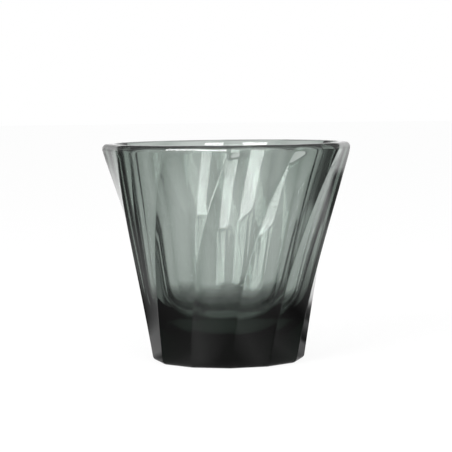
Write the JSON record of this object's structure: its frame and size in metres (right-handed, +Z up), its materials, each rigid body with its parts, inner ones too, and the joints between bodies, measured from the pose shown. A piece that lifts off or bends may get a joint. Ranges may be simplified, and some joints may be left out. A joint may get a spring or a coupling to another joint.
{
  "type": "espresso glass",
  "caption": "Small tapered espresso tumbler pressed in thick smoked glass, with flat facets that twist round the outside, a smooth round bowl and a heavy base.",
  "frame": {"origin": "centre of the plane that the foot stands on", "axes": "+Z up along the axis of the bowl; at the foot a facet edge faces -Y, the front"},
  "size_m": [0.0684, 0.0684, 0.06],
  "materials": {
    "smoked_glass": "fire-polished gloss, grey smoked glass coloured in the mass"
  },
  "bodies": {
    "root": {"glass_body": "smoked_glass"}
  },
  "joints": []
}
